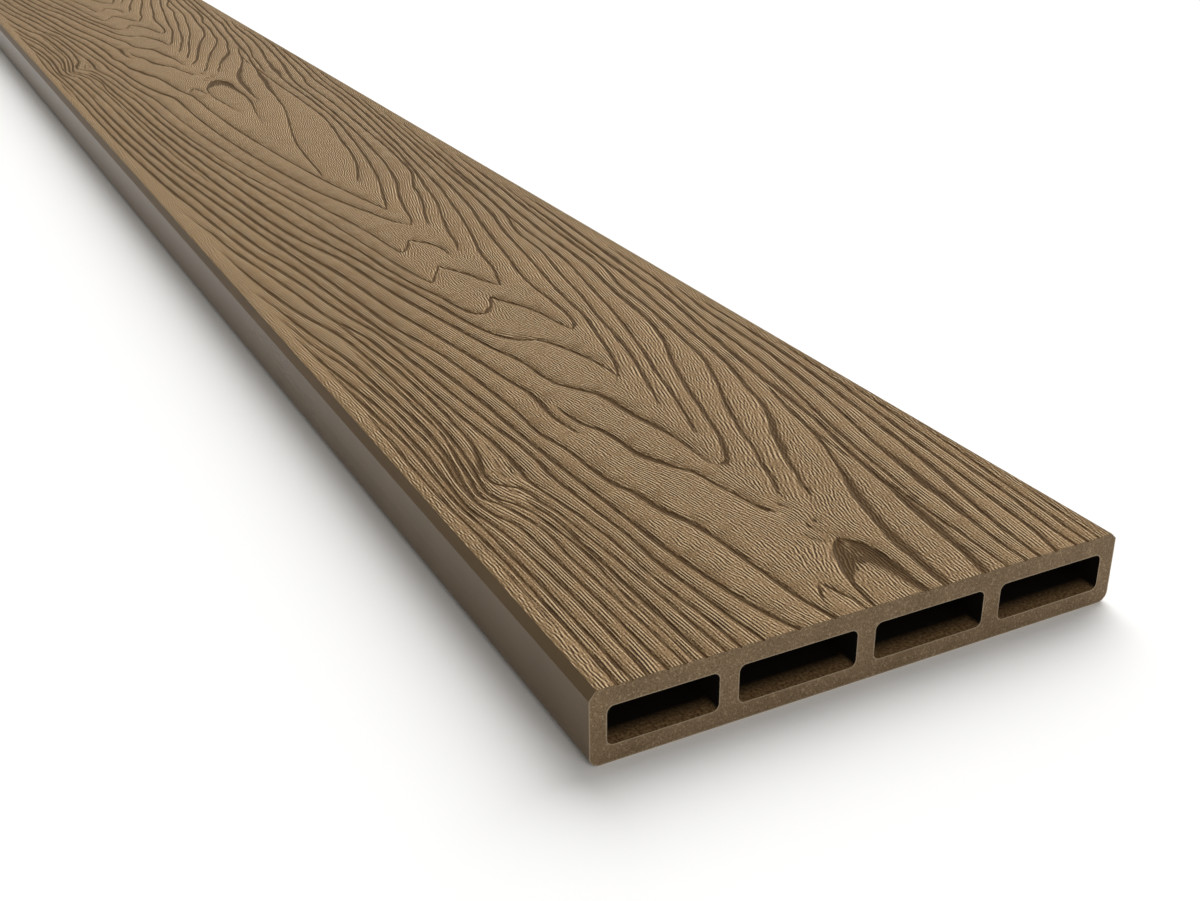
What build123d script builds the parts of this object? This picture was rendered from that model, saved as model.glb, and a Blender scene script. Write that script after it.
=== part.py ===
from build123d import *
import os

# Composite fence board: one extruded, hollow length of wood-plastic composite, sawn square at
# both ends and lying flat with its embossed face up.
# X runs along the length, Y across the width and Z up. The origin is the middle of the underside.
# All sizes are millimetres.

# Driving dimensions
LENGTH = 1830.0
WIDTH = 150.0
THICKNESS = 20.0

# Walls of the section
SIDE_WALL = 4.4
WEB = 5.2
UNDER_SKIN = 4.6
FACE_SKIN = 5.2

# Chambers, from the -Y edge to the +Y edge: one narrow, then three equal wide ones
WIDE_CHAMBER_COUNT = 3
NARROW_CHAMBER = 28.4
CHAMBER_RADIUS = 1.8

# Bevels beside the embossed face, the deeper one on the -Y edge, and rounds beside the underside
DEEP_BEVEL_ACROSS = 1.8
DEEP_BEVEL_DOWN = 2.4
SHALLOW_BEVEL_ACROSS = 1.6
SHALLOW_BEVEL_DOWN = 1.6
UNDERSIDE_RADIUS = 2.8

# Worked out from the above
CHAMBER_HEIGHT = THICKNESS - UNDER_SKIN - FACE_SKIN
CHAMBER_MIDDLE = UNDER_SKIN + CHAMBER_HEIGHT / 2
ROOM_FOR_WIDE = WIDTH - 2 * SIDE_WALL - WIDE_CHAMBER_COUNT * WEB - NARROW_CHAMBER
WIDE_CHAMBER = ROOM_FOR_WIDE / WIDE_CHAMBER_COUNT


def outer_outline():
    """The outside of the section: bevelled beside the embossed face, rounded beside the underside."""
    edge = WIDTH / 2
    with BuildSketch(Plane.YZ) as outline:
        with BuildLine():
            Polyline(
                (-edge, 0),
                (edge, 0),
                (edge, THICKNESS - SHALLOW_BEVEL_DOWN),
                (edge - SHALLOW_BEVEL_ACROSS, THICKNESS),
                (-edge + DEEP_BEVEL_ACROSS, THICKNESS),
                (-edge, THICKNESS - DEEP_BEVEL_DOWN),
                close=True,
            )
        make_face()
        underside_corners = outline.vertices().group_by(Axis.Y)[0]
        fillet(underside_corners, UNDERSIDE_RADIUS)
    return outline.sketch


def chamber_outlines():
    """The four chambers of the section, rounded at their corners, with a web between each two."""
    widths = [NARROW_CHAMBER] + [WIDE_CHAMBER] * WIDE_CHAMBER_COUNT
    side = -WIDTH / 2 + SIDE_WALL
    with BuildSketch(Plane.YZ) as chambers:
        for width in widths:
            with Locations((side + width / 2, CHAMBER_MIDDLE)):
                RectangleRounded(width, CHAMBER_HEIGHT, CHAMBER_RADIUS)
            side += width + WEB
    return chambers.sketch


def fence_board():
    """The whole board: the section without its chambers, extruded evenly both ways along X."""
    section = outer_outline() - chamber_outlines()
    return extrude(section, amount=LENGTH / 2, both=True)


os.makedirs("parts", exist_ok=True)
export_step(fence_board(), "parts/fence_board.step")
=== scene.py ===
import math

import bmesh
import bpy
import numpy as np
from mathutils import Matrix, Vector
from mathutils.geometry import delaunay_2d_cdt


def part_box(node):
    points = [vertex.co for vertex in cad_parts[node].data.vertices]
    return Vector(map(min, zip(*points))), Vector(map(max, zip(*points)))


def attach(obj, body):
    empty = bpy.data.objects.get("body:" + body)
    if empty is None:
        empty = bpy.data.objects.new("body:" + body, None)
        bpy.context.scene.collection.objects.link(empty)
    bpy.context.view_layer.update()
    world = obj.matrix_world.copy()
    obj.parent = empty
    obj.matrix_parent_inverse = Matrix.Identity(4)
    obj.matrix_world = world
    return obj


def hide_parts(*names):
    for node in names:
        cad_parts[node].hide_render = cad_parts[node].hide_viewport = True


# Looks of a hollow composite fence board: the grain pressed into its upper face, the bevelled edges,
# the sawn ends and the chambers. Lengths are millimetres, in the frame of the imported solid, and turn
# into metres where a mesh is made. Along the board, places are distances from the near sawn end.

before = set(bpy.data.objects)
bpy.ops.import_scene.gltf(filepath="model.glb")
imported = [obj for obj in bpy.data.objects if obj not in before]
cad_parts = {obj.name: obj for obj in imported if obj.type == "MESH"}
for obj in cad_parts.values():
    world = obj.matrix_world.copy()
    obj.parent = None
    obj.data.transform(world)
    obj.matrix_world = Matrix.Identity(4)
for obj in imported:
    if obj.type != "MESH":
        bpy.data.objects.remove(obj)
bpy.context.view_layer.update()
MM = 0.001

# The board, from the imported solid
board_low, board_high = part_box("fence_board")
LENGTH = (board_high.x - board_low.x) / MM
HALF_WIDTH = board_high.y / MM
THICKNESS = board_high.z / MM
NEAR_END_X = board_high.x / MM

# The section, as in the solid
DEEP_BEVEL_ACROSS = 1.8
DEEP_BEVEL_DOWN = 2.4
SHALLOW_BEVEL_ACROSS = 1.6
SHALLOW_BEVEL_DOWN = 1.6
UNDERSIDE_RADIUS = 2.8
SIDE_WALL = 4.4
WEB = 5.2
UNDER_SKIN = 4.6
FACE_SKIN = 5.2
NARROW_CHAMBER = 28.4
WIDE_CHAMBERS = 3
CHAMBER_RADIUS = 1.8
FACE_LOW_Y = -HALF_WIDTH + DEEP_BEVEL_ACROSS
FACE_HIGH_Y = HALF_WIDTH - SHALLOW_BEVEL_ACROSS

# The board's surfaces, in the order of the mesh's materials
FACE, SKIN, BEVEL, SAWN, CHAMBER = range(5)

# Steps of the mesh
CORNER_STEPS = 6
STATION_STEP = 30.5
BORDER_STEP = STATION_STEP / 3
BORDER_MARGIN = 0.3
CURVE_STEP = 0.4
CHORD_POWER = 0.75
LONGEST_STEP = 3.4
SHORTEST_STEP = 0.7
TURN_PER_STEP = math.radians(8)
MERGE_DISTANCE = 1e-4
SNAP_DISTANCE = 1e-3

# Points scattered over the open parts of the face, each moved a little from an even pattern
FILL_SEED = 11
FILL_ALONG = 8.0
FILL_ACROSS = 3.2
FILL_MARGIN = 1.0
FILL_JITTER = (2.5, 0.8)
FILL_CLEARANCE = 0.9

# Sawn ends: the rim round their edge and openings, where a painted highlight lies, and the points
# scattered between them
RIM_WIDTH = 0.45
RIM_BELOW_FACE = 0.9
END_SEED = 5
END_POINTS = 700
END_MARGIN_BELOW = 0.5
END_MARGIN_ABOVE = 1.0

# The pressed grain repeats with each turn of the embossing roller, three times in the length
ROLLER_TURN = 610.0
TURNS = round(LENGTH / ROLLER_TURN)
RUN_OUT = 2.0

# A groove's depth grows with the width of its gentle side, and fades in the finest ones
GROOVE_DEPTH = 0.5
STEEP_SIDE = 0.5
FINE_GROOVE = 0.22
FINE_WIDTH = 0.5
DEPTH_PER_WIDTH = 0.2

# Gentle sides above the narrow width are widened, fully so from the broad width on
NARROW_SIDE = 1.0
BROAD_SIDE = 3.0
WIDENED = 1.28

# Where the mesh has points on the gentle side, as a share of its width
GENTLE_ROW = 0.42

# How far a groove wanders and how much its width swells, both averaged over a few rows
WANDER_SEED = 7
LINE_WANDER = 0.12
LINE_SWELL = 0.22
AVERAGED_ROWS = 5

# The grain's slant, for the fine lines between the grooves, on a grid that reaches past the board
SLANT_STEP = np.array([2.0, 1.0])
SLANT_REACH = 12
SLANT_SOFTNESS = 1.5
STRAIGHT_GRAIN = 0.05
LENGTHWAYS = 0.3
STEEPEST_SLANT = 0.9
GRID_PAST_ENDS = 20.0
GRID_HALF_WIDTH = 80.0

# How closely the grooves stand where the face is stippled, and where it is combed
STIPPLED = 0.9
COMBED = 2.3

# Fine lines of the face: length, pitch, and the scale along the board that stretches them
LONG_LINES = (2.4, 0.85, 0.3)
STIPPLE_LINES = (1.7, 0.92, 0.8)

# The face is calmer and browner beside its bevels: how far inside the edge that begins, and is full
CALM_FROM = 6.0
CALM_FULL = 2.0

# Pale sawdust on the chambers' floors, which also paints the light that reaches in from the sawn ends:
# how far in it reaches, and how far in and up it is full
DUST_AND_LIGHT_REACH = 6.0
DUST_AND_LIGHT_FULL_REACH = 2.0
DUST_AND_LIGHT_FULL_HEIGHT = 0.1

# Where in a noise's values most colours turn from dark to pale
NOISE_RANGE = (0.35, 0.65)

# Numbers of the sockets that share their name with another one
GABOR_TURN = 4
MIX_FACTOR = 0
MIX_A = 6
MIX_B = 7
MIX_RESULT = 2

# Each groove is a run of (along, across) points, with a third number where the width of its gentle
# side changes. The gentle side of the first group lies towards +Y as the distance grows, and that of
# the second group towards -Y.
GENTLE_SIDE_UP = {
    "G01": [(0, 69.1, 0.9), (10, 70.1), (32, 72, 0.2)],
    "G02": [(0, 65.3, 1.1), (20, 67.1), (50, 70.1), (76, 72.4, 0.3)],
    "G03": [(0, 61.4, 1.3), (10, 62), (30, 64.8), (60, 67.4), (90, 70.3), (106, 71.3, 0.3)],
    "G04": [(0, 54.8, 1.5), (10, 57), (30, 59.4), (60, 63.1), (90, 66.6), (120, 70), (146, 71.8, 0.3)],
    "G05": [(0, 49.4, 1.4), (10, 50.3), (30, 53, 2), (50, 56.8), (75, 60.5, 1.5), (100, 63.5), (130, 66.8),
        (160, 68.6), (195, 69.6, 0.3)],
    "G06": [(0, 45.2, 1.3), (15, 45.8), (35, 48, 2.8), (45, 48.4), (60, 50.8, 2.8), (75, 53.2, 1.6),
        (90, 56), (110, 59.4), (140, 63), (170, 64.8), (190, 66), (212, 69, 0.3)],
    "G07": [(38, 42.4, 0.3), (55, 44.3, 1.4), (75, 46.8), (90, 49), (110, 53), (140, 57.5), (170, 60),
        (190, 61.8), (220, 66), (265, 68.6, 0.3)],
    "G08": [(0, 31.8, 3), (10, 33.8), (30, 36.3, 3), (50, 40, 1.6), (75, 43.6), (90, 46.3), (100, 47.5),
        (115, 48.8, 2.6), (125, 49.8, 1.8), (150, 53), (180, 56.8), (210, 60.8), (230, 61.7), (260, 64),
        (300, 67), (340, 69.6, 0.3)],
    "G08b": [(0, 39.3, 1), (20, 40), (40, 40.7), (56, 41.6, 0.2)],
    "G08c": [(66, 40.8, 0.2), (75, 41.3, 0.6), (92, 43, 0.2)],
    "G09": [(-30, 18.6, 0.2), (0, 20.2, 2.6), (15, 21.3, 3.4), (25, 22.5), (35, 24.8), (45, 27.5, 3.6),
        (50, 29.3), (60, 33.3, 1.8), (70, 36.8, 1.3), (80, 40), (90, 42), (100, 43.8), (110, 45.8),
        (119, 48.3, 0.4)],
    "G10": [(51, 17.3, 0.2), (55, 18.8, 1), (60, 19.8), (65, 21.8, 1.3), (75, 24.9), (80, 26.5, 2.8),
        (90, 30.5), (100, 35.5, 2.8), (110, 39.5, 1.6), (120, 41.5), (140, 46.5), (170, 50.3), (200, 54),
        (230, 57.7), (260, 59.7), (310, 63.5), (365, 68, 0.3)],
    "G11": [(57, 11, 0.2), (60, 12, 1.1), (65, 14.3), (75, 16.9), (85, 20.5), (95, 23.3), (105, 26.3, 1.5),
        (120, 31.8), (130, 36), (140, 39.5), (150, 42.3), (170, 45.3), (200, 49.3), (220, 50.7), (240, 55),
        (300, 59.6), (370, 65.5), (420, 69.4, 0.3)],
    "G12": [(82, 10, 1.2), (86, 11.8, 1.6), (95, 15.5), (110, 19.8), (130, 25.3), (150, 31.5), (170, 39),
        (190, 43.5), (220, 46.8), (250, 51), (300, 54.3), (370, 61), (450, 68.5, 0.3)],
    "G13": [(101, 11.3, 0.3), (105, 12.5, 1.2), (120, 16.9), (140, 21.8), (150, 24.2), (160, 27.1),
        (190, 34.5), (220, 39.9), (260, 46.7), (300, 49.3), (370, 56.5), (440, 64), (490, 69, 0.3)],
    "G14": [(123, 11.6, 0.3), (130, 13.8, 1.3), (150, 19.4), (160, 22.3), (180, 26.5), (200, 29.8),
        (220, 33.9), (250, 38.7), (270, 42.7), (300, 45), (320, 50), (400, 57.5), (520, 69, 0.3)],
    "G15": [(148, 11, 0.5), (155, 13.8, 1.3), (165, 17), (190, 23), (200, 25.3), (220, 27.6), (250, 32.3),
        (270, 35.7), (300, 40.2), (330, 46.3), (400, 54), (500, 64), (560, 69.4, 0.3)],
    "G16": [(191, 16.6, 0.5), (195, 18.8, 1.4), (205, 21), (220, 22.3), (240, 23), (255, 25), (270, 28.3),
        (290, 31.7), (310, 35.3), (340, 41.7), (420, 52), (500, 61), (560, 66.5), (610, 69.1, 0.9)],
    "G17": [(243, 12.9, 0.5), (250, 14.7, 1.4), (260, 17.7), (280, 21), (300, 26.1), (320, 31), (350, 37),
        (370, 41), (430, 48.5), (500, 57), (560, 62.5), (610, 65.3, 1.1)],
    "G18": [(288, 15, 0.3), (295, 17, 1.4), (310, 20), (330, 25.3), (350, 31), (380, 37), (430, 45.5),
        (500, 53), (560, 59), (610, 61.4, 1.3)],
    "G19": [(324, 17, 0.3), (335, 19.5, 1.3), (350, 24.7), (370, 30), (380, 31.7), (400, 38.6), (430, 43),
        (500, 48.5), (560, 52.5), (610, 54.8, 1.5)],
    "G20": [(327, 10.5, 0.5), (335, 13.3, 1.4), (350, 16.3), (370, 21), (390, 27.3), (420, 33.6),
        (450, 37.6), (500, 43), (560, 47), (610, 49.4, 1.4)],
    "G21": [(352, 9.2, 0.5), (360, 11.3, 1.3), (380, 17), (400, 22.4), (430, 28.5), (480, 36.5),
        (520, 41.4), (560, 43.8), (610, 45.2, 1.3)],
    "G22": [(400, 13, 0.3), (405, 14.5, 1.3), (420, 19.5), (440, 24.8), (470, 29.5), (500, 34.3),
        (520, 37.2), (560, 38.9), (610, 39.3, 1)],
    "G23": [(414, 1.2, 0.3), (420, 2, 1.2), (450, 5), (480, 9), (510, 15.5), (550, 24.5), (580, 29),
        (610, 31.8, 3)],
    "flame upper": [(30.5, 11.6, 0.6), (28, 13.6, 3.5), (25, 15.2, 6.5), (20, 16.3, 8), (16, 16.3, 7.5),
        (12, 16.1, 5), (6, 15.8, 3.8), (0, 15.5, 2.2), (-16, 15.6, 1.4), (-36, 13.6, 1), (-60, 9.2, 0.8),
        (-84, 5.6, 0.3)],
    "small flame upper": [(15.2, -5.7, 0.3), (10, -4, 1.3), (5, -2.8, 1.1), (0, -2.6, 0.8), (-6, -3, 0.2)],
    "knot wave 1": [(100.5, -46, 0.2), (102.3, -46.5, 0.4), (104.5, -45.8, 0.5), (107, -46, 0.4),
        (109.2, -45.6, 0.2)],
    "knot wave 2": [(105, -48.9, 0.2), (107, -48.2, 0.4), (109.5, -47.9, 0.4), (112, -47, 0.2)],
    "speck": [(50.5, 8.6, 0.2), (52, 8, 0.8), (54, 7.8, 0.2)],
    "dash 1": [(31.5, 5.6, 0.2), (33.5, 5, 0.7), (36, 4.9, 0.2)],
    "dash 2": [(37, 8.5, 0.2), (38.8, 8, 0.7), (41, 8.4, 0.2)],
    "dash 3": [(39, 11.4, 0.2), (40.8, 11, 0.6), (42.5, 11.6, 0.2)],
}
GENTLE_SIDE_DOWN = {
    "H1": [(191, 16.6, 0.5), (197, 15.5, 1.2), (210, 13.8), (220, 11), (230, 6.5), (233.6, 5, 1), (232, 4),
        (224, 0.5), (219.5, -4, 1.4), (221, -6.5), (226, -8.2), (240, -10.2), (260, -14.3), (280, -17),
        (300, -18.5), (340, -23.3), (420, -31), (500, -37.4), (560, -39.8), (610, -40.6, 1)],
    "H2": [(148, 11, 0.5), (160, 10.8, 1.2), (170, 9), (180, 6), (188, 2.5), (191, -3, 1.5), (196, -7),
        (205, -10), (230, -13.8), (260, -18.3), (300, -24), (340, -30.3), (420, -37.5), (500, -42.5),
        (560, -44.8), (610, -45.5, 1.2)],
    "H3": [(243, 12.9, 0.5), (252, 9.5, 1.2), (258, 8), (270, 3), (273.6, 1, 1), (270, -1), (262, -5.5),
        (257.5, -7.8), (262, -9), (280, -11.7), (300, -13.5), (350, -18), (400, -23.6), (420, -27),
        (500, -34), (560, -36.4), (610, -36.8, 1.1)],
    "H4": [(283, 9.6, 0.3), (293, 10.6, 1.2), (301, 8.6), (305, 6), (308.6, 2.5, 1), (304, 0), (298, -3),
        (296, -5.4), (302, -6.2), (325, -8), (360, -12.7), (420, -20), (500, -27), (560, -29.8),
        (610, -30.8, 1.3)],
    "G20b": [(327, 10.5, 0.5), (335, 6.5, 1.2), (350, 2.3), (370, -3.2), (385, -6.7), (430, -13),
        (500, -18.8), (560, -20.8), (610, -21, 1.8)],
    "G21b": [(352, 9.2, 0.5), (360, 8, 1.2), (380, 4.5), (420, -1), (500, -8), (560, -10.5),
        (610, -11, 1.4)],
    "L0": [(80, 4.6, 0.2), (90, 4.7, 0.9), (100, 4.6), (110, 4, 2), (120, 2), (130, 1.1), (140, -0.8, 2),
        (145, -4), (152, -8, 1.5), (160, -9.5), (170, -9.8), (190, -14.2), (215, -18), (240, -22.3),
        (280, -26.7), (300, -29), (330, -35.3), (400, -42), (500, -46.8), (610, -48.8, 1)],
    "L1": [(48.5, 5.4, 0.2), (52, 3.5, 1.2), (60, 1.8), (70, -0.3), (80, -2), (85, -5, 1.6),
        (90, -6.5, 2.6), (97, -9.3, 2.4), (105, -10.5, 1.5), (115, -11.8), (122, -14.5), (128, -15.5),
        (136, -16.2, 0.3)],
    "L2": [(116, -19, 0.2), (125, -19.5, 1.2), (130, -19.9), (140, -19, 2.3), (150, -18.5),
        (157, -19.8, 1.6), (170, -21.3), (200, -24.8), (240, -30.7), (280, -34.3), (320, -40), (400, -47.5),
        (460, -52.5), (520, -54.6), (610, -55.4, 1.1)],
    "L3": [(0, -11, 1.4), (10, -13), (25, -14.3), (45, -15.8), (55, -17, 2), (65, -20, 2.4), (75, -21.4),
        (85, -24.5, 2.2), (92, -25.4, 1.5), (110, -26.3), (120, -28.2), (140, -28), (160, -28.6),
        (190, -30.8), (220, -35.6), (250, -38.3), (290, -41.7), (320, -44.7), (400, -52), (480, -57.6),
        (560, -60.2), (610, -60.6, 1.1)],
    "L4": [(0, -21, 1.8), (10, -24), (25, -26.6), (40, -28.8, 1.5), (60, -30.4), (80, -31.3), (110, -33),
        (140, -33.9), (180, -36), (220, -40.5), (260, -44.3), (300, -47.9), (320, -51.3), (400, -57.6),
        (500, -63), (560, -64.2), (610, -64.3, 1.1)],
    "L5": [(0, -30.8, 1.3), (20, -32.8), (35, -34.2), (60, -34.9), (80, -36.3), (90, -37), (112, -36.8),
        (140, -38.8), (160, -39.9), (200, -41.8), (220, -43.2), (240, -46.7), (280, -51), (320, -56.7),
        (380, -61.4), (440, -65.2), (520, -67.6), (610, -67.9, 1)],
    "L6": [(0, -36.8, 1.1), (15, -37.4), (30, -38.9), (60, -39.8), (80, -42), (97, -44, 1.3),
        (105, -42.9, 2), (120, -42.7, 1.6), (150, -44.4, 1.2), (190, -45.8), (220, -48), (240, -52.7),
        (270, -55.5), (300, -59), (330, -62.7), (350, -64), (385, -68, 0.3)],
    "L7": [(0, -40.6, 1), (15, -41.5), (40, -42.6), (60, -44), (75, -44.9), (85, -46.7), (93, -48.1),
        (96, -51.1), (99, -53), (104, -53.2, 1.4), (110, -51.7, 2.2), (120, -49.1, 1.6), (130, -48.3, 1.2),
        (150, -47.5), (180, -48), (210, -50), (240, -53, 0.4)],
    "L7b": [(0, -45.5, 1.2), (30, -46.3, 1.6), (50, -46.8, 1.2), (75, -47.6), (82, -49), (86, -50, 0.2)],
    "L8": [(0, -48.8, 0.6), (30, -49.3), (55, -48.6, 1), (73, -50), (80, -51), (86, -53.3), (91, -56.4),
        (95, -56.9, 1.3), (105, -55.4), (120, -53.3), (140, -51.8), (170, -52), (210, -53.8), (230, -56),
        (240, -58.7), (270, -63), (290, -64.7), (330, -67.5, 0.3)],
    "L9": [(0, -51.1, 0.9), (30, -51.6), (55, -52.5), (70, -52.5), (80, -54.7), (87, -56.7), (91, -58.8),
        (95, -59.1, 1.3), (105, -57.5), (120, -55.6), (136, -54, 0.5), (150, -53.8, 0.9), (175, -54.3),
        (215, -56.4, 0.2)],
    "L10": [(0, -55.4, 1.1), (40, -55.9), (60, -56.6), (75, -57.5), (83, -60.4), (92, -61.5, 1.4),
        (105, -59.9), (120, -57.8), (140, -56.8), (170, -57.9), (200, -59.5), (220, -62), (240, -64.3),
        (275, -68.2, 0.3)],
    "L10b": [(8, -59.2, 0.2), (20, -59, 0.6), (32, -58.8, 0.2)],
    "L11": [(97, -62, 0.3), (105, -61.7, 1), (120, -59.9), (150, -59.9), (190, -61.5), (220, -65.8),
        (248, -68.4, 0.3)],
    "L12": [(0, -60.6, 1.1), (20, -60), (50, -60.5), (75, -62.2), (90, -64.6, 1.3), (105, -63.9),
        (130, -62.8), (160, -63.4), (200, -67.3), (228, -69, 0.3)],
    "L13": [(0, -64.3, 1.1), (50, -64.8), (80, -65.8), (95, -66.5), (130, -65.4), (170, -67.1),
        (195, -68.3, 0.3)],
    "L14": [(0, -67.9, 1), (50, -67.5), (90, -68.8), (110, -69.3), (130, -68.9), (160, -68.4, 0.3)],
    "L15": [(25, -70, 0.2), (50, -69.7, 0.6), (72, -69.8, 0.2)],
    "L16": [(430, -46.4, 0.3), (480, -49.2, 0.9), (550, -50.8), (610, -51.1, 0.9)],
    "flame lower": [(30.5, 11.6, 0.6), (29.6, 9.6, 3), (25, 6, 6), (20, 4, 6), (17, 2.8, 5), (14, 1.8, 2.4),
        (10, 0.7, 1.2), (4, -0.1, 1), (-12, -1.2, 0.9), (-30, 0, 0.8), (-52, 1.4, 0.3)],
    "small flame lower": [(15.2, -5.7, 0.3), (12, -7.6, 1.6), (9, -8.9, 1), (6, -9.6, 0.2)],
    "knot arc": [(99.4, -49.3, 0.2), (101, -49.1, 0.5), (103, -49.1, 0.6), (104.3, -49.8, 0.4),
        (105, -50.3, 0.2)],
    "knot spot": [(104.5, -50.9, 0.2), (105.2, -51, 0.6), (106, -50.8, 0.2)],
    "knot stroke": [(101.6, -50.9, 0.2), (102.5, -50.6, 0.5), (103.4, -50.7, 0.2)],
    "knot mark 1": [(91.8, -51.2, 0.2), (93, -51.3, 0.5), (94.2, -51.2, 0.2)],
    "knot mark 2": [(88, -48.8, 0.2), (89.2, -48.9, 0.5), (90.6, -50.2, 0.4), (91.8, -50.9, 0.2)],
    "knot wave 3": [(111, -45, 0.2), (114, -46.1, 0.4), (118, -45.9, 0.4), (122, -46.2, 0.2)],
}
# Grooves that run on into others where the roller's next turn begins
RUNS_ON = {
    "G16": "G01", "G17": "G02", "G18": "G03", "G19": "G04", "G20": "G05", "G21": "G06", "G22": "G08b",
    "G23": "G08", "G21b": "L3", "G20b": "L4", "H4": "L5", "H3": "L6", "H1": "L7", "H2": "L7b", "L0": "L8",
    "L16": "L9", "L2": "L10", "L3": "L12", "L4": "L13", "L5": "L14",
}
ENTERED = set(RUNS_ON.values())

# Camera, from the photograph's edges: place and direction in the board's frame, and clip in metres
CAMERA_PLACE = (1150.604, -193.913, 204.909)
CAMERA_FORWARD = (-0.79922281, 0.41341418, -0.43627012)
CAMERA_UP = (-0.38568751, 0.20393455, 0.89980878)
SENSOR_WIDTH = 36.0
LENS = 45.0965
CLIP_START = 0.01

# Light and floor, the floor's size in metres
SUN_FROM = (-0.56, 0.56, 0.64)
SUN_STRENGTH = 3.45
SUN_SPREAD = math.radians(62)
FILL_FROM = (0.92, 0.04, 0.45)
FILL_STRENGTH = 0.85
FILL_SPREAD = math.radians(35)
SKY_OVERHEAD = 0.27
SKY_AT_HORIZON = 0.2
SKY_TINT = (1.0, 0.975, 0.93, 1.0)
SKY_SEEN = (1.0, 1.0, 1.0, 1.0)
FLOOR_BOUNCE = (0.85, 0.85, 0.85, 1.0)
FLOOR_SEEN = (1.0, 1.0, 0.995, 1.0)
FLOOR_SIZE = 40.0


def linear(red, green, blue):
    """A colour written in display values of 0 to 255, as the linear colour that a shader takes."""
    channels = [c / 255 for c in (red, green, blue)]
    return tuple(c / 12.92 if c <= 0.04045 else ((c + 0.055) / 1.055) ** 2.4 for c in channels) + (1.0,)


# Colours of the embossed face: its crests, its border, its fine lines, pale ones partly a painted
# highlight, and its grooves, darker partly in their own colour and partly as painted shade
CREST_DARK = linear(133, 108, 78)
CREST_PALE = linear(147, 120, 87)
BORDER_BROWN = linear(112, 92, 65)
LINE_PALE_AND_HIGHLIGHT = linear(210, 184, 146)
LINE_DARK = linear(56, 38, 20)
GROOVE_DARK_AND_SHADE = linear(68, 46, 22)
GROOVE_PALE_AND_SHADE = linear(114, 96, 68)
GROOVE_BOTTOM = linear(88, 78, 60)

# Colours of the extruded edges and underside, and of the bevels
SKIN_DARK = linear(98, 77, 48)
SKIN_PALE = linear(103, 82, 52)
SKIN_CLOUD = linear(109, 88, 58)
BEVEL_DARK = linear(86, 67, 42)
BEVEL_PALE = linear(93, 74, 48)
BEVEL_CLOUD = linear(100, 80, 54)

# Colours of the sawn ends, with a painted highlight at their rims, and of the chambers: walls painted
# near black as shade, and pale sawdust that also paints the light reaching in near the ends
SAWN_DARK = linear(118, 98, 73)
SAWN_PALE = linear(128, 107, 81)
SAWN_SPECK = linear(72, 56, 37)
SAWN_FLOUR = linear(166, 144, 114)
SAWN_RIM_HIGHLIGHT = linear(174, 157, 132)
PAINTED_SHADE_WALL_DARK = linear(12, 8, 4)
PAINTED_SHADE_WALL_PALE = linear(18, 12, 6)
DUST_AND_LIGHT_DARK = linear(92, 67, 39)
DUST_AND_LIGHT_PALE = linear(150, 120, 83)


def knots_of(points):
    """A groove's points as rows of along, across and width, each width kept until the next one."""
    width = points[0][2]
    rows = []
    for point in points:
        if len(point) == 3:
            width = point[2]
        rows.append((point[0], point[1], width))
    return np.array(rows)


def smooth_run(points):
    """A groove's points joined by a smooth curve: close rows of along, across and width."""
    knots = knots_of(points)
    chords = np.hypot(*np.diff(knots[:, :2], axis=0).T)
    place = np.concatenate([[0], np.cumsum(chords ** CHORD_POWER)])
    slopes = np.gradient(knots[:, :2], place, axis=0)
    samples = []
    for i in range(len(knots) - 1):
        count = max(2, int(chords[i] / CURVE_STEP))
        t = np.linspace(0, 1, count, endpoint=False)[:, None]
        span = place[i + 1] - place[i]
        curve = ((2 * t**3 - 3 * t**2 + 1) * knots[i, :2] + (t**3 - 2 * t**2 + t) * span * slopes[i]
                 + (3 * t**2 - 2 * t**3) * knots[i + 1, :2] + (t**3 - t**2) * span * slopes[i + 1])
        widths = knots[i, 2] + (knots[i + 1, 2] - knots[i, 2]) * t
        samples.append(np.hstack([curve, widths]))
    samples.append(knots[-1:])
    return np.vstack(samples)


def thin_out(run):
    """The rows of a smooth run that its bends need, and one at least every LONGEST_STEP."""
    steps = np.diff(run[:, :2], axis=0)
    lengths = np.hypot(*steps.T)
    headings = np.unwrap(np.arctan2(steps[:, 1], steps[:, 0]))
    kept = [0]
    for i in range(1, len(run) - 1):
        walked = lengths[kept[-1]:i].sum()
        turned = abs(headings[i] - headings[kept[-1]])
        if walked >= LONGEST_STEP or (walked >= SHORTEST_STEP and turned >= TURN_PER_STEP):
            kept.append(i)
    kept.append(len(run) - 1)
    return run[kept]


def whole_groove(name, turn, lines):
    """The points of a groove that begins in that turn of the roller, with those it runs on into."""
    start = turn * ROLLER_TURN
    points = [(p[0] + start, *p[1:]) for p in lines[name]]
    follower = RUNS_ON.get(name)
    if follower and turn + 1 < TURNS:
        points += whole_groove(follower, turn + 1, lines)[1:]
    return points


def run_out(points):
    """A groove's points from the near sawn end, with one more beyond that end."""
    start, after = points[0], points[1]
    slope = (after[1] - start[1]) / (after[0] - start[0])
    return [(-RUN_OUT, start[1] - RUN_OUT * slope, start[2])] + points


def waver(rng, count):
    """A slow random wavering about zero, over that many rows."""
    window = np.ones(AVERAGED_ROWS) / AVERAGED_ROWS
    return np.convolve(rng.normal(0, 1, count + AVERAGED_ROWS - 1), window, "valid")


def groove_rows(points, rng):
    """A groove's rows of along, across, gentle width and depth."""
    rows = thin_out(smooth_run(points))
    rows[:, 1] += LINE_WANDER * waver(rng, len(rows))
    widening = np.interp(rows[:, 2], (NARROW_SIDE, BROAD_SIDE), (1.0, WIDENED))
    rows[:, 2] *= widening * (1 + LINE_SWELL * waver(rng, len(rows)))
    fading = np.minimum(1, rows[:, 2] / FINE_WIDTH)
    depth = np.minimum(GROOVE_DEPTH, FINE_GROOVE * fading + DEPTH_PER_WIDTH * rows[:, 2])
    return np.column_stack([rows, depth])


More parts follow.
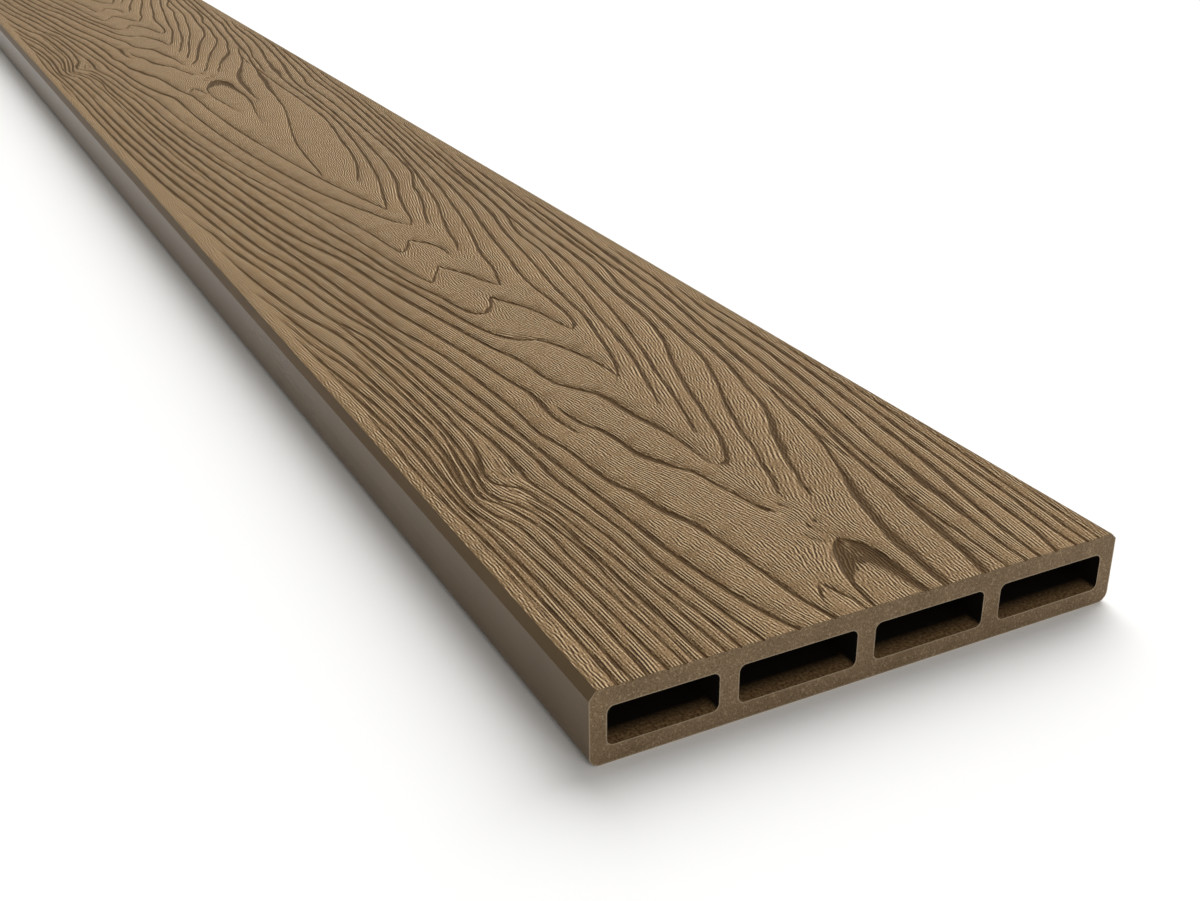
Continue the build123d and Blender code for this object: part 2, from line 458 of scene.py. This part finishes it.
def grooves():
    """Each groove's rows, and 1 or -1 for the group that its gentle side follows."""
    rng = np.random.default_rng(WANDER_SEED)
    lines = {**GENTLE_SIDE_UP, **GENTLE_SIDE_DOWN}
    found = []
    for turn in range(TURNS):
        for name in lines:
            if turn > 0 and name in ENTERED:
                continue
            points = whole_groove(name, turn, lines)
            if turn == 0 and points[0][0] == 0:
                points = run_out(points)
            side = 1 if name in GENTLE_SIDE_UP else -1
            found.append((groove_rows(points, rng), side))
    return found


def normals_of(path):
    """Unit normals along a flat path, a quarter turn from the way it runs."""
    heading = np.gradient(path, axis=0)
    heading /= np.linalg.norm(heading, axis=1)[:, None]
    return np.column_stack([-heading[:, 1], heading[:, 0]])


def gentle_share(t):
    """How much of a groove's depth is left at that share of its gentle side."""
    return 0.5 * (1 + np.cos(math.pi * t))


def depth_beside(points, start, end, side):
    """How far points lie from one step of a groove, and how deep it makes the face there."""
    step = end[:2] - start[:2]
    length = np.hypot(*step)
    t = np.clip((points - start[:2]) @ step / length**2, 0, 1)
    offset = points - start[:2] - t[:, None] * step
    distance = np.hypot(*offset.T)
    across = side * (offset[:, 1] * step[0] - offset[:, 0] * step[1]) / length
    signed = np.where(across >= 0, distance, -distance)
    width = start[2] + (end[2] - start[2]) * t
    full = start[3] + (end[3] - start[3]) * t
    gentle = full * gentle_share(np.clip(signed / width, 0, 1))
    steep = full * np.clip(1 + signed / STEEP_SIDE, 0, 1)
    return distance, np.where(signed >= 0, gentle, steep)


def depth_of_groove(points, rows, side, reach):
    """How deep one groove makes the face at each point: the nearest of its steps counts."""
    nearest = np.full(len(points), np.inf)
    depth = np.zeros(len(points))
    order = np.argsort(points[:, 0])
    along = points[order, 0]
    for start, end in zip(rows[:-1], rows[1:]):
        low, high = sorted([start[0], end[0]])
        first, last = np.searchsorted(along, [low - reach, high + reach])
        chosen = order[first:last]
        distance, value = depth_beside(points[chosen], start, end, side)
        closer = distance < nearest[chosen]
        nearest[chosen] = np.where(closer, distance, nearest[chosen])
        depth[chosen] = np.where(closer, value, depth[chosen])
    return depth


def groove_depth(points, grain):
    """How deep the pressed face is at each (along, across) point: the deepest groove there counts."""
    depth = np.zeros(len(points))
    order = np.argsort(points[:, 0])
    along = points[order, 0]
    for rows, side in grain:
        reach = rows[:, 2].max() + STEEP_SIDE
        low = rows[:, :2].min(axis=0) - reach
        high = rows[:, :2].max(axis=0) + reach
        first, last = np.searchsorted(along, [low[0], high[0]])
        near = order[first:last]
        near = near[(points[near, 1] > low[1]) & (points[near, 1] < high[1])]
        depth[near] = np.maximum(depth[near], depth_of_groove(points[near], rows, side, reach))
    return depth


def grain_grids(grain, low, shape):
    """In each cell of a grid, the grooves' slant times their length, and their length. Steps that run
    across the board don't count."""
    slants, lengths = np.zeros(shape), np.zeros(shape)
    for rows, _ in grain:
        run = rows[:, :2]
        step = np.diff(run, axis=0)
        length = np.hypot(*step.T)
        lengthways = np.abs(step[:, 0]) > LENGTHWAYS * length
        middle = ((run[1:] + run[:-1]) / 2)[lengthways]
        slant = np.clip(step[lengthways, 1] / step[lengthways, 0], -STEEPEST_SLANT, STEEPEST_SLANT)
        cells = tuple(((middle - low) / SLANT_STEP).astype(int).T)
        np.add.at(slants, cells, slant * length[lengthways])
        np.add.at(lengths, cells, length[lengthways])
    return slants, lengths


def spread_out(grid):
    """A grid with each value spread over the cells round it, less with distance."""
    reach = np.arange(-SLANT_REACH, SLANT_REACH + 1)
    away = np.hypot(reach[:, None] * SLANT_STEP[0], reach[None, :] * SLANT_STEP[1])
    kernel = np.where(away <= SLANT_REACH, 1 / (away**2 + SLANT_SOFTNESS), 0)
    padded = tuple(n + 2 * SLANT_REACH for n in grid.shape)
    both = np.fft.rfft2(grid, padded) * np.fft.rfft2(kernel, padded)
    return np.fft.irfft2(both, padded)[SLANT_REACH:-SLANT_REACH, SLANT_REACH:-SLANT_REACH]


def read_grid(grid, cell, part):
    """A grid's value at each place, part of the way from its cell to the next ones."""
    i, j = cell.T
    s, t = part.T
    here = grid[i, j] * (1 - s) + grid[i + 1, j] * s
    beside = grid[i, j + 1] * (1 - s) + grid[i + 1, j + 1] * s
    return here * (1 - t) + beside * t


def grain_fields(points, grain):
    """At each point, the grain's slant, as in the grooves nearby and straight far from any, and how
    combed the face is: 1 among close grooves and 0 where they are few."""
    low = np.array([-GRID_PAST_ENDS, -GRID_HALF_WIDTH])
    high = np.array([LENGTH + GRID_PAST_ENDS, GRID_HALF_WIDTH])
    shape = tuple(np.ceil((high - low) / SLANT_STEP).astype(int))
    slants, lengths = grain_grids(grain, low, shape)
    closeness = spread_out(lengths)
    slant_grid = spread_out(slants) / (closeness + STRAIGHT_GRAIN)
    combed_grid = np.clip((closeness - STIPPLED) / (COMBED - STIPPLED), 0, 1)
    at = (points - low) / SLANT_STEP - 0.5
    cell = np.clip(np.floor(at).astype(int), 0, np.array(shape) - 2)
    part = np.clip(at - cell, 0, 1)
    return read_grid(slant_grid, cell, part), read_grid(combed_grid, cell, part)


def groove_lines(grain):
    """Mesh points in four lines along each groove, from the top of its steep side to that of its
    gentle side, and the edges that join them."""
    points, edges = [], []
    for rows, side in grain:
        normal = side * normals_of(rows[:, :2])
        steep_top = np.full(len(rows), -STEEP_SIDE)
        bottom = np.zeros(len(rows))
        for offset in (steep_top, bottom, GENTLE_ROW * rows[:, 2], rows[:, 2]):
            line = rows[:, :2] + normal * offset[:, None]
            line[:, 1] = np.clip(line[:, 1], FACE_LOW_Y + BORDER_MARGIN, FACE_HIGH_Y - BORDER_MARGIN)
            start = len(points)
            edges += [(start + i, start + i + 1) for i in range(len(line) - 1)]
            points += [tuple(p) for p in line]
    return points, edges


def fill_points(grain):
    """Mesh points scattered over the open parts of the face, clear of every groove."""
    rng = np.random.default_rng(FILL_SEED)
    fill = []
    for along in np.arange(FILL_ALONG / 2, LENGTH, FILL_ALONG):
        across = np.arange(FACE_LOW_Y + FILL_ACROSS / 2, FACE_HIGH_Y - FILL_MARGIN, FILL_ACROSS)
        moves = [rng.uniform(-most, most, len(across)) for most in FILL_JITTER]
        fill.append(np.column_stack([along + moves[0], across + moves[1]]))
    fill = np.vstack(fill)
    clear = groove_depth(fill, grain) == 0
    for sideways in (-FILL_CLEARANCE, FILL_CLEARANCE):
        clear &= groove_depth(fill + [0, sideways], grain) == 0
    return [tuple(p) for p in fill[clear] if 0 < p[0] < LENGTH]


def loop_edges(start, count):
    """The edges of a closed loop of that many points, numbered from start."""
    return [(start + i, start + (i + 1) % count) for i in range(count)]


def snap_to_border(places):
    """Moves the places that all but lie on the face's border onto it."""
    for axis, line in ((0, 0.0), (0, LENGTH), (1, FACE_LOW_Y), (1, FACE_HIGH_Y)):
        places[np.abs(places[:, axis] - line) < SNAP_DISTANCE, axis] = line


def between_ends(places, faces):
    """The faces between the sawn ends, and only the places they use, numbered anew."""
    middles = places[faces].mean(axis=1)
    faces = faces[(middles[:, 0] > 0) & (middles[:, 0] < LENGTH)]
    used = np.unique(faces)
    renumber = np.full(len(places), -1)
    renumber[used] = np.arange(len(used))
    return places[used], renumber[faces]


def face_mesh():
    """The embossed face as triangles whose edges follow the grooves: places, faces and, at each
    place, the depth, the grain's slant and how combed the face is."""
    grain = grooves()
    points, edges = groove_lines(grain)
    points += fill_points(grain)
    stations = np.arange(0, LENGTH + 1, BORDER_STEP)
    border = [(s, FACE_LOW_Y) for s in stations] + [(s, FACE_HIGH_Y) for s in stations[::-1]]
    edges += loop_edges(len(points), len(border))
    points += border
    corners = [Vector(p) for p in points]
    vertices, _, triangles = delaunay_2d_cdt(corners, edges, [], 0, MERGE_DISTANCE, False)[:3]
    places = np.array([tuple(v) for v in vertices])
    snap_to_border(places)
    places, faces = between_ends(places, np.array(triangles))
    depth = groove_depth(places, grain)
    depth[(places[:, 1] == FACE_LOW_Y) | (places[:, 1] == FACE_HIGH_Y)] = 0
    return places, faces, depth, *grain_fields(places, grain)


class Shell:
    """Vertices, faces and their surfaces, collected before one mesh is made of them."""

    def __init__(self):
        self.points = []
        self.faces = []
        self.surfaces = []
        # Points at the sawn ends' rims, which carry a painted highlight
        self.highlight_rims = []

    def add_points(self, points):
        """Adds rows of x, y, z in millimetres and returns their numbers."""
        start = len(self.points)
        self.points += [tuple(map(float, p)) for p in points]
        return np.arange(start, len(self.points))

    def add_face(self, corners, surface):
        """Adds a face of numbered points, on that surface."""
        self.faces.append([int(c) for c in corners])
        self.surfaces.append(surface)


def arc(centre, radius, start, end):
    """Points of an arc about (y, z), angles in degrees, both ends included."""
    angles = np.radians(np.linspace(start, end, CORNER_STEPS + 1))
    return [(centre[0] + radius * math.cos(a), centre[1] + radius * math.sin(a)) for a in angles]


def skin_outline():
    """The section's outside from the face's +Y border down, under the board and up to its -Y border."""
    round_y = HALF_WIDTH - UNDERSIDE_RADIUS
    points = [(FACE_HIGH_Y, THICKNESS), (HALF_WIDTH, THICKNESS - SHALLOW_BEVEL_DOWN)]
    points += arc((round_y, UNDERSIDE_RADIUS), UNDERSIDE_RADIUS, 0, -90)
    points += arc((-round_y, UNDERSIDE_RADIUS), UNDERSIDE_RADIUS, -90, -180)
    points += [(-HALF_WIDTH, THICKNESS - DEEP_BEVEL_DOWN), (FACE_LOW_Y, THICKNESS)]
    return points


def inner_outline():
    """The section's outside moved in by the width of the sawn rim, and closed below the grooves."""
    outline = np.array(skin_outline())
    ring = outline - RIM_WIDTH * normals_of(outline)
    for last, beside in ((0, 1), (-1, -2)):
        share = (ring[last, 1] - THICKNESS + RIM_BELOW_FACE) / (ring[last, 1] - ring[beside, 1])
        ring[last] += share * (ring[beside] - ring[last])
    return [tuple(p) for p in ring]


def chamber_outlines(grow=0.0):
    """The four chambers as closed runs of (y, z), each grown by that much."""
    spare = 2 * HALF_WIDTH - 2 * SIDE_WALL - WIDE_CHAMBERS * WEB - NARROW_CHAMBER
    widths = [NARROW_CHAMBER] + [spare / WIDE_CHAMBERS] * WIDE_CHAMBERS
    radius = CHAMBER_RADIUS + grow
    low, high = UNDER_SKIN + CHAMBER_RADIUS, THICKNESS - FACE_SKIN - CHAMBER_RADIUS
    side = -HALF_WIDTH + SIDE_WALL
    outlines = []
    for width in widths:
        left, right = side + CHAMBER_RADIUS, side + width - CHAMBER_RADIUS
        outlines.append(arc((right, low), radius, -90, 0) + arc((right, high), radius, 0, 90)
                        + arc((left, high), radius, 90, 180) + arc((left, low), radius, 180, 270))
        side += width + WEB
    return outlines


def inside(points, loop):
    """Which (y, z) points lie inside a closed loop."""
    y, z = points.T
    result = np.zeros(len(points), bool)
    for (y0, z0), (y1, z1) in zip(loop, loop[1:] + loop[:1]):
        if z0 == z1:
            continue
        crosses = (z0 > z) != (z1 > z)
        result ^= crosses & (y < y0 + (z - z0) * (y1 - y0) / (z1 - z0))
    return result


def in_material(points, outer, openings):
    """Which (y, z) points lie inside the outer loop and outside every opening."""
    result = inside(points, outer)
    for opening in openings:
        result &= ~inside(points, opening)
    return result


def zip_rows(shell, first, second, surface):
    """Triangles between two rows of numbered points that both run away from the near end."""
    i = j = 0
    while i < len(first) - 1 or j < len(second) - 1:
        step_first = j == len(second) - 1 or (
            i < len(first) - 1 and shell.points[first[i + 1]][0] >= shell.points[second[j + 1]][0])
        if step_first:
            shell.add_face((first[i], first[i + 1], second[j]), surface)
            i += 1
        else:
            shell.add_face((first[i], second[j + 1], second[j]), surface)
            j += 1


def scattered_points(rings):
    """Points scattered over a sawn end, inside its outer ring and outside the others."""
    rng = np.random.default_rng(END_SEED)
    y = rng.uniform(-HALF_WIDTH, HALF_WIDTH, END_POINTS)
    z = rng.uniform(END_MARGIN_BELOW, THICKNESS - END_MARGIN_ABOVE, END_POINTS)
    places = np.column_stack([y, z])
    return [tuple(p) for p in places[in_material(places, rings[0], rings[1:])]]


def add_end(shell, outline, chambers, x, facing):
    """A sawn end: the section's material, with a narrow rim round each chamber and inside its edge."""
    loops = [outline] + chambers
    runs = [[shell.points[n][1:] for n in loop] for loop in loops]
    rings = [inner_outline()] + chamber_outlines(RIM_WIDTH)
    added = [p for ring in rings for p in ring] + scattered_points(rings)
    numbers = [n for loop in loops for n in loop]
    numbers += list(shell.add_points([(x, y, z) for y, z in added]))
    flat = [Vector(p) for run in [*runs, added] for p in run]
    edges, start = [], 0
    for run in runs + rings:
        edges += loop_edges(start, len(run))
        start += len(run)
    vertices, _, triangles, origins = delaunay_2d_cdt(flat, edges, [], 0, MERGE_DISTANCE)[:4]
    places = np.array([tuple(v) for v in vertices])
    triangles = np.array(triangles)
    kept = in_material(places[triangles].mean(axis=1), runs[0], runs[1:])
    for triangle in triangles[kept]:
        corners = [numbers[origins[k][0]] for k in triangle]
        shell.add_face(corners if facing > 0 else corners[::-1], SAWN)


def add_skin(shell, places, face_points, stations):
    """The bevels, edges and underside, between the face's borders, and their rows of points."""
    rows = []
    for y, z in skin_outline()[1:-1]:
        rows.append(shell.add_points([(NEAR_END_X - s, y, z) for s in stations]))
    borders = []
    for y in (FACE_HIGH_Y, FACE_LOW_Y):
        chosen = face_points[places[:, 1] == y]
        borders.append(chosen[np.argsort(places[chosen, 0])])
    zip_rows(shell, borders[0], rows[0], BEVEL)
    for upper, lower in zip(rows[:-1], rows[1:]):
        for i in range(len(stations) - 1):
            shell.add_face((upper[i], upper[i + 1], lower[i + 1], lower[i]), SKIN)
    zip_rows(shell, rows[-1], borders[1], BEVEL)
    return rows


def add_chambers(shell, stations):
    """The chambers' walls, and the near and far loop of points of each chamber."""
    ends = []
    for loop in chamber_outlines():
        rings = [shell.add_points([(NEAR_END_X - s, y, z) for y, z in loop]) for s in stations]
        for near, far in zip(rings[:-1], rings[1:]):
            for i in range(len(loop)):
                k = (i + 1) % len(loop)
                shell.add_face((near[i], near[k], far[k], far[i]), CHAMBER)
        ends.append((rings[0], rings[-1]))
        shell.highlight_rims += [*rings[0], *rings[-1]]
    return ends


def board_shell():
    """The board as one closed shell, and what its face's points carry besides their places."""
    shell = Shell()
    places, faces, depth, slant, combed = face_mesh()
    top = np.column_stack([NEAR_END_X - places[:, 0], places[:, 1], THICKNESS - depth])
    face_points = shell.add_points(top)
    for a, b, c in faces:
        shell.add_face((a, c, b), FACE)
    stations = np.arange(0, LENGTH + 1, STATION_STEP)
    rows = add_skin(shell, places, face_points, stations)
    chambers = add_chambers(shell, stations)
    for s, pick, facing in ((0.0, 0, 1), (LENGTH, -1, -1)):
        notched = face_points[places[:, 0] == s]
        notched = notched[np.argsort(places[notched, 1])]
        skin = [row[pick] for row in rows]
        shell.highlight_rims += skin
        add_end(shell, [*notched, *skin], [ends[pick] for ends in chambers], NEAR_END_X - s, facing)
    return shell, {"groove": depth / GROOVE_DEPTH, "slant": -slant, "combed": combed}


def add_object(name, data):
    """A new object in the scene."""
    thing = bpy.data.objects.new(name, data)
    bpy.context.scene.collection.objects.link(thing)
    return thing


def mark_sharp_edges(mesh):
    """Edges between two surfaces stay crisp."""
    shape = bmesh.new()
    shape.from_mesh(mesh)
    for edge in shape.edges:
        if len({face.material_index for face in edge.link_faces}) > 1:
            edge.smooth = False
    shape.to_mesh(mesh)
    shape.free()


def build_board(materials):
    """The board's one mesh, in place of the plain solid."""
    shell, carried = board_shell()
    points = np.array(shell.points)
    mesh = bpy.data.meshes.new("embossed_board")
    mesh.from_pydata((points * MM).tolist(), [], shell.faces)
    for material in materials:
        mesh.materials.append(material)
    mesh.polygons.foreach_set("material_index", shell.surfaces)
    mesh.polygons.foreach_set("use_smooth", [True] * len(shell.faces))
    # 1 at the sawn ends' rims, where their painted highlight lies
    rim = np.zeros(len(points))
    rim[shell.highlight_rims] = 1
    for name, values in {**carried, "rim": rim}.items():
        attribute = mesh.attributes.new(name, "FLOAT", "POINT")
        filled = np.pad(values, (0, len(points) - len(values)))
        attribute.data.foreach_set("value", filled.astype(np.float32))
    mesh.update()
    mark_sharp_edges(mesh)
    return add_object("embossed_board", mesh)


class Nodes:
    """A short way to lay out the nodes of a material or of the sky."""

    def __init__(self, name, owners=bpy.data.materials):
        self.owner = owners.new(name)
        self.owner.use_nodes = True
        self.tree = self.owner.node_tree
        self.tree.nodes.clear()

    def add(self, kind, inputs=None, **settings):
        """A shader node of that kind, with its settings and with values or links for its inputs."""
        node = self.tree.nodes.new("ShaderNode" + kind)
        for key, value in settings.items():
            setattr(node, key, value)
        for key, value in (inputs or {}).items():
            if isinstance(value, bpy.types.NodeSocket):
                self.tree.links.new(value, node.inputs[key])
            else:
                node.inputs[key].default_value = value
        return node

    def attribute(self, name):
        """What the mesh carries under that name."""
        return self.add("Attribute", attribute_name=name).outputs["Fac"]

    def axis(self, place, name):
        """The x, y or z of a place: in metres on the board, or of a direction in the sky."""
        source = self.add("TexCoord").outputs[place]
        return self.add("SeparateXYZ", {0: source}).outputs[name]

    def position(self, scale):
        """The place on the board in metres, scaled by x, y and z."""
        place = self.add("TexCoord").outputs["Object"]
        return self.add("Mapping", {"Vector": place, "Scale": scale}).outputs["Vector"]

    def noise(self, scale, detail=2.0, roughness=0.5):
        """Soft blotches, that many to a metre along x, y and z."""
        return self.add("TexNoise", {
            "Vector": self.position(scale), "Scale": 1.0, "Detail": detail,
            "Roughness": roughness}).outputs["Fac"]

    def combing(self, length, pitch, stretch):
        """Fine lines that follow the grain's slant, a pitch apart and broken about every length over
        stretch, where pitch and length are millimetres."""
        turned = self.math("ARCTANGENT", self.math("DIVIDE", self.attribute("slant"), stretch))
        return self.add("TexGabor", {
            "Vector": self.position((stretch, 1.0, 1.0)), "Scale": 1 / (length * MM),
            "Frequency": length / pitch, "Anisotropy": 1.0,
            GABOR_TURN: self.math("ADD", turned, math.pi / 2)}).outputs["Value"]

    def spread(self, value, low, high, to_low=0.0, to_high=1.0):
        """Maps low..high to to_low..to_high, and keeps it between them."""
        return self.add("MapRange", {
            "Value": value, "From Min": low, "From Max": high, "To Min": to_low,
            "To Max": to_high}).outputs["Result"]

    def math(self, operation, *values):
        """The result of a sum on numbers or sockets."""
        return self.add("Math", dict(enumerate(values)), operation=operation).outputs[0]

    def blend(self, factor, a, b):
        """A number between a and b."""
        return self.add("Mix", {"Factor": factor, "A": a, "B": b}).outputs["Result"]

    def mix(self, factor, a, b):
        """A colour between a and b."""
        inputs = {MIX_FACTOR: factor, MIX_A: a, MIX_B: b}
        return self.add("Mix", inputs, data_type="RGBA").outputs[MIX_RESULT]

    def tint(self, value, low, high, a, b, most=1.0):
        """A colour from a to b, at most that share of the way, as the value goes from low to high."""
        return self.mix(self.spread(value, low, high, 0.0, most), a, b)

    def seen(self):
        """1 for what the camera sees, also as a reflection, and 0 for the light that falls on things."""
        rays = self.add("LightPath").outputs
        return self.math("MAXIMUM", rays["Is Camera Ray"], rays["Is Glossy Ray"])

    def end(self, kind, shader):
        """Joins the shader to the output, and gives back the material or sky."""
        self.add(kind, {"Surface": shader.outputs[0]})
        return self.owner

    def finish(self, colour, height, depth, roughness, gloss):
        """The finished material, its bump as deep as that many millimetres."""
        bump = self.add("Bump", {"Height": height, "Strength": 1.0, "Distance": depth * MM})
        shader = self.add("BsdfPrincipled", {
            "Base Color": colour, "Roughness": roughness, "Specular IOR Level": gloss,
            "Normal": bump.outputs["Normal"]})
        return self.end("OutputMaterial", shader)


def fine_relief(nodes, inward, long_lines, stipple):
    """The fine lines and grit of the face, about 0.5: long lines where it is combed and stipple where
    it is open, both faint beside the bevels."""
    combed = nodes.math("MULTIPLY", nodes.attribute("combed"), inward)
    faint_lines = nodes.math("MULTIPLY_ADD", long_lines, 0.8, 0.1)
    lines = nodes.math("SUBTRACT", nodes.blend(combed, stipple, faint_lines), 0.5)
    grit = nodes.math("MULTIPLY_ADD", nodes.noise((1500, 2600, 1500), detail=1.0), 0.3, -0.15)
    pressed = nodes.spread(inward, 0.0, 0.6, 0.4, 1.0)
    return nodes.math("MULTIPLY_ADD", nodes.math("ADD", lines, grit), pressed, 0.5)


def face_material():
    """The embossed face: brown crests, grooves darkened partly in their own colour and partly as painted
    shade, and fine lines along the grain whose pale parts are partly painted highlights.
    """
    nodes = Nodes("embossed_composite")
    groove = nodes.attribute("groove")
    from_middle = nodes.math("ABSOLUTE", nodes.axis("Object", "Y"))
    calm_from, calm_full = (HALF_WIDTH - CALM_FROM) * MM, (HALF_WIDTH - CALM_FULL) * MM
    inward = nodes.spread(from_middle, calm_from, calm_full, 1.0, 0.0)
    long_lines = nodes.combing(*LONG_LINES)
    stipple = nodes.combing(*STIPPLE_LINES)
    fine = fine_relief(nodes, inward, long_lines, stipple)
    patches = nodes.noise((9, 30, 30))
    colour = nodes.tint(patches, 0.3, 0.7, CREST_DARK, CREST_PALE)
    colour = nodes.tint(inward, 0.7, 0.0, colour, BORDER_BROWN, most=0.6)
    # Pale fibres on the fine lines' crests, partly a painted highlight
    colour = nodes.tint(fine, 0.52, 0.62, colour, LINE_PALE_AND_HIGHLIGHT, most=0.85)
    colour = nodes.tint(fine, 0.5, 0.4, colour, LINE_DARK, most=0.9)
    # Colour of the grooves: darker partly in their own colour and partly as painted shade
    groove_colour_and_shade = nodes.tint(stipple, 0.5, 0.6, GROOVE_DARK_AND_SHADE, GROOVE_PALE_AND_SHADE, most=0.6)
    groove_colour_and_shade = nodes.tint(groove, 0.92, 1.0, groove_colour_and_shade, GROOVE_BOTTOM, most=0.5)
    ragged = nodes.math("MULTIPLY_ADD", long_lines, 0.9, -0.45)
    sunk_and_shaded = nodes.math("ADD", groove, ragged)
    # The face darkens into its grooves by their depth: partly their own colour, partly painted shade
    colour = nodes.tint(sunk_and_shaded, 0.2, 0.6, colour, groove_colour_and_shade, most=0.97)
    return nodes.finish(colour, fine, depth=0.6, roughness=0.85, gloss=0.05)


def skin_material():
    """The smooth extruded edges and underside: grey-brown, with faint draw lines."""
    nodes = Nodes("extruded_skin")
    drawn = nodes.noise((4, 500, 500))
    clouds = nodes.noise((40, 60, 60))
    colour = nodes.tint(drawn, *NOISE_RANGE, SKIN_DARK, SKIN_PALE)
    colour = nodes.tint(clouds, 0.4, 0.7, colour, SKIN_CLOUD, most=0.5)
    return nodes.finish(colour, drawn, depth=0.03, roughness=0.24, gloss=0.16)


def bevel_material():
    """The bevels beside the embossed face, browner than the edges below them."""
    nodes = Nodes("bevel_skin")
    drawn = nodes.noise((6, 700, 700))
    clouds = nodes.noise((60, 90, 90))
    colour = nodes.tint(drawn, *NOISE_RANGE, BEVEL_DARK, BEVEL_PALE)
    colour = nodes.tint(clouds, 0.45, 0.7, colour, BEVEL_CLOUD, most=0.5)
    return nodes.finish(colour, drawn, depth=0.06, roughness=0.5, gloss=0.13)


def sawn_material():
    """The sawn ends: fine light and dark specks of wood flour, paler at the openings and edges as a painted
    highlight.
    """
    nodes = Nodes("sawn_composite")
    specks = nodes.noise((2600, 2600, 2600), detail=1.0)
    flour = nodes.noise((1700, 1700, 1700), roughness=0.6)
    clouds = nodes.noise((120, 120, 120))
    colour = nodes.tint(clouds, *NOISE_RANGE, SAWN_DARK, SAWN_PALE)
    colour = nodes.tint(specks, 0.47, 0.3, colour, SAWN_SPECK, most=0.85)
    colour = nodes.tint(flour, 0.54, 0.7, colour, SAWN_FLOUR, most=0.75)
    # A painted highlight along the rims of the openings and edges
    colour = nodes.tint(nodes.attribute("rim"), 0.1, 1.0, colour, SAWN_RIM_HIGHLIGHT, most=0.75)
    return nodes.finish(colour, specks, depth=0.15, roughness=0.65, gloss=0.15)


def chamber_material():
    """The chambers: walls painted near black as shade, faintly ribbed along their length, and pale sawdust
    near the sawn ends, which also paints the light that reaches in there.
    """
    nodes = Nodes("chamber_shade_and_dust")
    drawn = nodes.noise((6, 600, 600))
    specks = nodes.noise((1300, 1300, 1300), roughness=0.6)
    no_dust_or_light, full_dust_and_light = (UNDER_SKIN + CHAMBER_RADIUS / 2) * MM, (UNDER_SKIN + DUST_AND_LIGHT_FULL_HEIGHT) * MM
    low = nodes.spread(nodes.axis("Object", "Z"), no_dust_or_light, full_dust_and_light)
    no_dust_or_light, full_dust_and_light = (LENGTH / 2 - DUST_AND_LIGHT_REACH) * MM, (LENGTH / 2 - DUST_AND_LIGHT_FULL_REACH) * MM
    near_end = nodes.spread(nodes.math("ABSOLUTE", nodes.axis("Object", "X")), no_dust_or_light, full_dust_and_light)
    # Walls painted near black: painted shade deep inside the chambers
    walls = nodes.tint(drawn, *NOISE_RANGE, PAINTED_SHADE_WALL_DARK, PAINTED_SHADE_WALL_PALE)
    # Pale sawdust on the floors near the sawn ends, which also paints the light that reaches in there
    dust_and_light = nodes.tint(specks, *NOISE_RANGE, DUST_AND_LIGHT_DARK, DUST_AND_LIGHT_PALE)
    colour = nodes.mix(nodes.math("MULTIPLY", low, near_end), walls, dust_and_light)
    return nodes.finish(colour, specks, depth=0.1, roughness=0.8, gloss=0.1)


def add_camera():
    """The camera at the photograph's place."""
    forward = Vector(CAMERA_FORWARD).normalized()
    right = forward.cross(Vector(CAMERA_UP)).normalized()
    up = right.cross(forward)
    data = bpy.data.cameras.new("camera")
    data.sensor_fit = "HORIZONTAL"
    data.sensor_width = SENSOR_WIDTH
    data.lens = LENS
    data.clip_start = CLIP_START
    camera = add_object("camera", data)
    turn = Matrix((right, up, -forward)).transposed().to_4x4()
    camera.matrix_world = Matrix.Translation(Vector(CAMERA_PLACE) * MM) @ turn
    bpy.context.scene.camera = camera


def add_sun(name, source, strength, spread):
    """A soft lamp far away, shining from that direction."""
    data = bpy.data.lights.new(name, "SUN")
    data.energy = strength
    data.angle = spread
    sun = add_object(name, data)
    sun.rotation_euler = Vector(source).to_track_quat("Z", "Y").to_euler()


def add_sky():
    """A pale sky, brighter overhead than at the horizon, that reads as white to the camera."""
    nodes = Nodes("sky", bpy.data.worlds)
    seen = nodes.seen()
    light = nodes.spread(nodes.axis("Generated", "Z"), 0.0, 1.0, SKY_AT_HORIZON, SKY_OVERHEAD)
    background = nodes.add("Background", {
        "Color": nodes.mix(seen, SKY_TINT, SKY_SEEN), "Strength": nodes.blend(seen, light, 1.0)})
    bpy.context.scene.world = nodes.end("OutputWorld", background)


def add_floor():
    """A wide white floor under the board, which keeps its shadow."""
    half = FLOOR_SIZE / 2
    corners = [(-half, -half, 0), (half, -half, 0), (half, half, 0), (-half, half, 0)]
    mesh = bpy.data.meshes.new("floor")
    mesh.from_pydata(corners, [], [(0, 1, 2, 3)])
    nodes = Nodes("white_floor")
    colour = nodes.mix(nodes.seen(), FLOOR_BOUNCE, FLOOR_SEEN)
    shader = nodes.add("BsdfDiffuse", {"Color": colour})
    mesh.materials.append(nodes.end("OutputMaterial", shader))
    floor = add_object("floor", mesh)


bpy.context.scene.view_settings.view_transform = "Standard"
add_camera()
add_sun("sun", SUN_FROM, SUN_STRENGTH, SUN_SPREAD)
add_sun("fill", FILL_FROM, FILL_STRENGTH, FILL_SPREAD)
add_sky()
add_floor()
surfaces = [face_material(), skin_material(), bevel_material(), sawn_material(), chamber_material()]
board = build_board(surfaces)
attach(board, "root")
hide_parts("fence_board")
